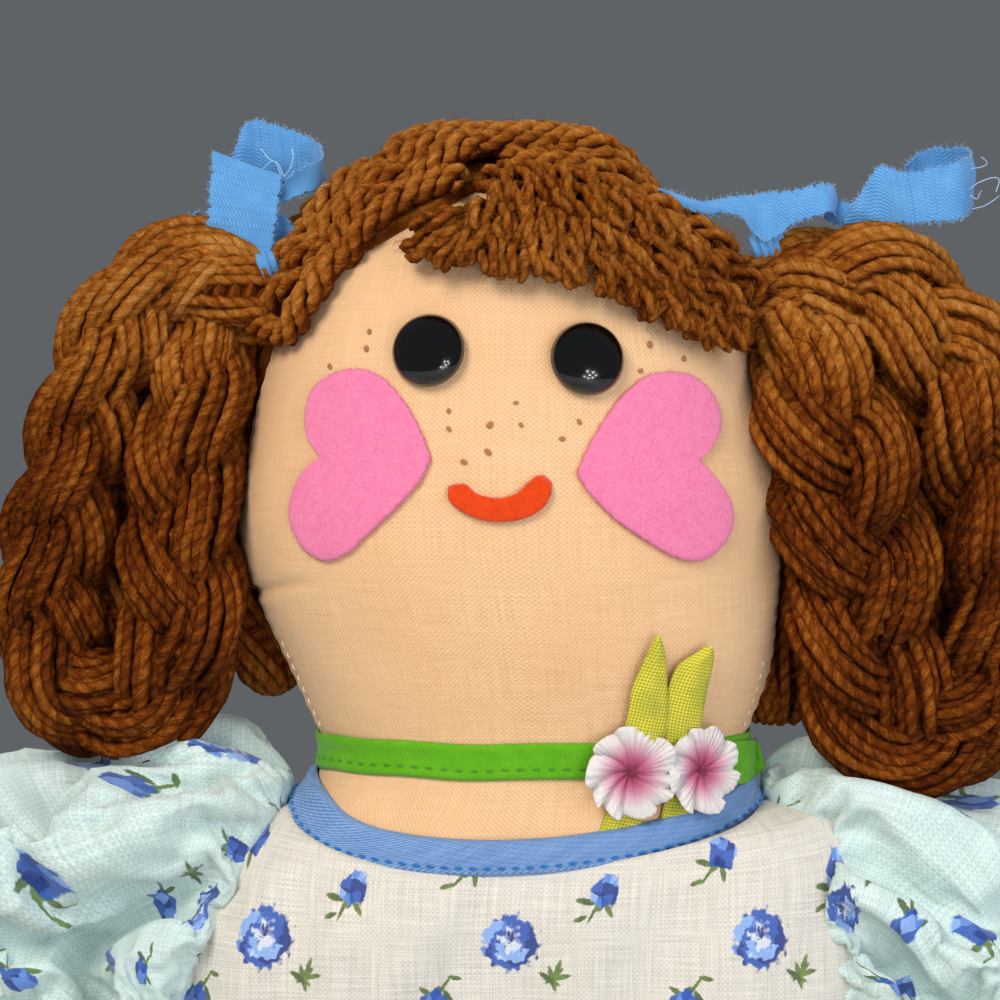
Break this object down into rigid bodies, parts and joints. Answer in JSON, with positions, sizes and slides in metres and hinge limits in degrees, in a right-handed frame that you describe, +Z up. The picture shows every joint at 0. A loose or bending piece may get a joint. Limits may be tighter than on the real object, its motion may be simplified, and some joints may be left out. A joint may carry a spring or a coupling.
{
  "type": "rag doll",
  "caption": "Sitting stuffed rag doll in a printed dress, with button eyes, felt cheeks, yarn pigtails and limbs that swing.",
  "frame": {"origin": "on the flat underside of the torso, on the doll's middle plane, where it sits", "axes": "+Z up, -Y the way the face looks, +X towards the doll's own left hand"},
  "size_m": [0.348, 0.368, 0.3557],
  "materials": {
    "muslin": "plain weave cotton, matte",
    "black_button": "polished black",
    "pink_felt": "felt, matte",
    "red_felt": "felt, matte",
    "green_tape": "folded cotton tape",
    "leaf_ribbon": "woven ribbon, slight sheen",
    "flower_ribbon": "gathered ribbon, slight sheen",
    "printed_voile": "thin cotton with a small rose print",
    "blue_twill": "folded twill binding",
    "yarn": "thick wool yarn",
    "blue_cotton": "torn cotton strips",
    "elastic": "narrow woven elastic",
    "pearl_button": "pearly"
  },
  "bodies": {
    "doll": {"head": "muslin", "torso": "muslin", "left_eye": "black_button", "right_eye": "black_button", "left_cheek": "pink_felt", "right_cheek": "pink_felt", "mouth": "red_felt", "neck_band": "green_tape", "left_leaf": "leaf_ribbon", "right_leaf": "leaf_ribbon", "left_flower": "flower_ribbon", "right_flower": "flower_ribbon", "bodice": "printed_voile", "skirt": "printed_voile", "neck_binding": "blue_twill", "back_button_1": "pearl_button", "back_button_2": "pearl_button", "back_button_3": "pearl_button", "hair_cap": "yarn", "fringe": "yarn", "left_bow": "blue_cotton", "right_bow": "blue_cotton"},
    "left_arm": {"left_arm": "muslin", "left_sleeve": "printed_voile", "left_sleeve_elastic": "elastic"},
    "right_arm": {"right_arm": "muslin", "right_sleeve": "printed_voile", "right_sleeve_elastic": "elastic"},
    "left_leg": {"left_leg": "muslin"},
    "right_leg": {"right_leg": "muslin"},
    "left_pigtail": {"left_pigtail": "yarn"},
    "right_pigtail": {"right_pigtail": "yarn"}
  },
  "joints": [
    {"name": "left_shoulder", "type": "hinge", "parent": "doll", "child": "left_arm", "pos_m": [0.06425, 0, 0.15], "axis": [-1, 0, 0], "range_deg": [-50, 120], "deforming": ["left_sleeve"]},
    {"name": "right_shoulder", "type": "hinge", "parent": "doll", "child": "right_arm", "pos_m": [-0.06425, 0, 0.15], "axis": [-1, 0, 0], "range_deg": [-50, 120], "deforming": ["right_sleeve"]},
    {"name": "left_hip", "type": "hinge", "parent": "doll", "child": "left_leg", "pos_m": [0.039, -0.04, 0.025], "axis": [-1, 0, 0], "range_deg": [-90, 40], "deforming": ["skirt"]},
    {"name": "right_hip", "type": "hinge", "parent": "doll", "child": "right_leg", "pos_m": [-0.039, -0.04, 0.025], "axis": [-1, 0, 0], "range_deg": [-90, 40], "deforming": ["skirt"]},
    {"name": "left_pigtail_swing", "type": "hinge", "parent": "doll", "child": "left_pigtail", "pos_m": [0.0666, -0.006, 0.3118], "axis": [-1, 0, 0], "range_deg": [-45, 80]},
    {"name": "right_pigtail_swing", "type": "hinge", "parent": "doll", "child": "right_pigtail", "pos_m": [-0.0666, -0.006, 0.3118], "axis": [-1, 0, 0], "range_deg": [-45, 80]}
  ]
}
